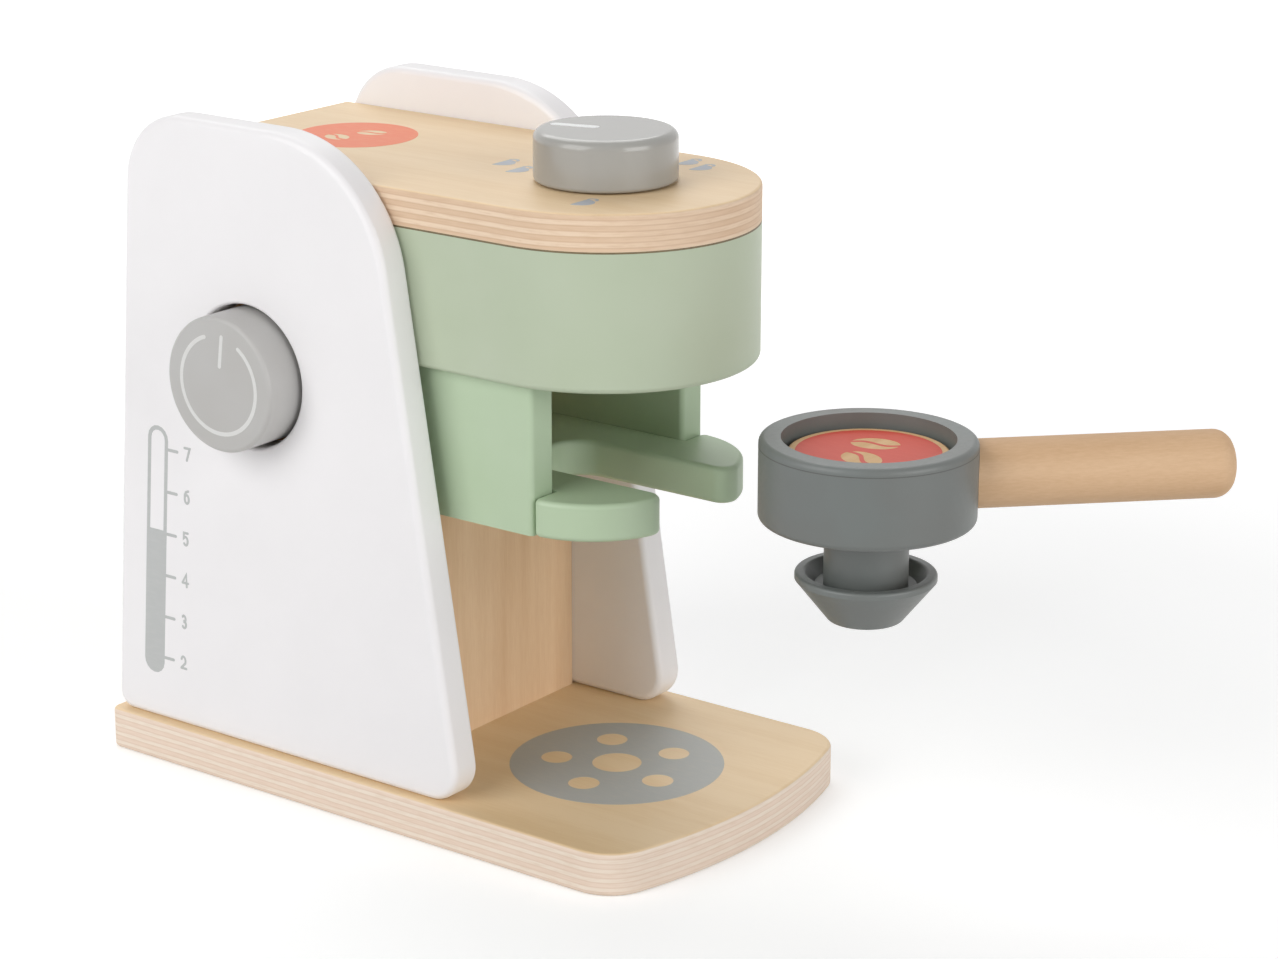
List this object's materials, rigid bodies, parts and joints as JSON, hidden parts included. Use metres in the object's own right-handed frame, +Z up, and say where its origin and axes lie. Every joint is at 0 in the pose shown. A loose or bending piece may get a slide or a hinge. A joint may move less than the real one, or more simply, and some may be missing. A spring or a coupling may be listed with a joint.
{
  "type": "toy coffee maker",
  "caption": "Wooden toy pod coffee maker: plywood body with a turning knob, a sprung push button, and a draw-out filter holder with a lift-out pad.",
  "frame": {"origin": "middle of the base board's underside, where the toy stands on a table", "axes": "+Z up, -Y out of the toy's front, +X to the right seen from the front"},
  "size_m": [0.1346, 0.2968, 0.191],
  "materials": {
    "birch_plywood": "clear lacquered birch plywood with bare ply edges",
    "pine_veneer": "plain wood veneer, matte",
    "white_paint": "satin white water-based paint on plywood",
    "green_paint": "satin sage green paint on wood",
    "grey_paint": "satin warm grey paint on wood",
    "grey_knob": "glossy grey paint on turned wood",
    "grey_button": "satin light grey paint on turned wood",
    "beech": "bare turned beech",
    "pad_wood": "thin wooden disc, printed on top",
    "zinc_steel": "bright zinc plate"
  },
  "bodies": {
    "housing": {"base_board": "birch_plywood", "left_side_panel": "white_paint", "right_side_panel": "white_paint", "partition_panel": "pine_veneer", "rear_panel": "pine_veneer", "top_board": "birch_plywood", "head_block": "green_paint", "left_cheek": "green_paint", "right_cheek": "green_paint", "fork_plate": "green_paint", "side_dowels": "beech", "bracket_dowels": "beech", "base_screws": "zinc_steel", "knob_washer": "zinc_steel", "button_guide": "beech", "stop_sleeve": "beech", "button_spring": "zinc_steel"},
    "knob": {"brew_knob": "grey_knob", "knob_spindle": "zinc_steel", "knob_nut": "zinc_steel"},
    "button": {"power_button": "grey_button", "button_retainer": "beech", "button_stem": "beech"},
    "spout": {"filter_spout": "grey_paint", "filter_screw": "zinc_steel"},
    "portafilter": {"filter_cup": "grey_paint", "filter_handle": "beech"},
    "pad": {"coffee_pad": "pad_wood"}
  },
  "joints": [
    {"name": "knob_turn", "type": "hinge", "parent": "housing", "child": "knob", "pos_m": [0, -0.0444, 0.177], "axis": [0, 0, -1], "continuous": true},
    {"name": "button_press", "type": "slide", "parent": "housing", "child": "button", "axis": [1, 0, 0], "range_m": [0, 0.004], "stiffness_N_per_m": 300, "springref_m": -0.002, "deforming": ["button_spring"]},
    {"name": "portafilter_slide", "type": "slide", "parent": "housing", "child": "spout", "axis": [0, 1, 0], "range_m": [0, 0.094]},
    {"name": "portafilter_turn", "type": "hinge", "parent": "spout", "child": "portafilter", "pos_m": [0, -0.1285, 0.0994], "axis": [0, 0, 1], "range_deg": [-91, 1]},
    {"name": "pad_lift", "type": "slide", "parent": "portafilter", "child": "pad", "axis": [0, 0, 1], "range_m": [0, 0.0115]}
  ]
}
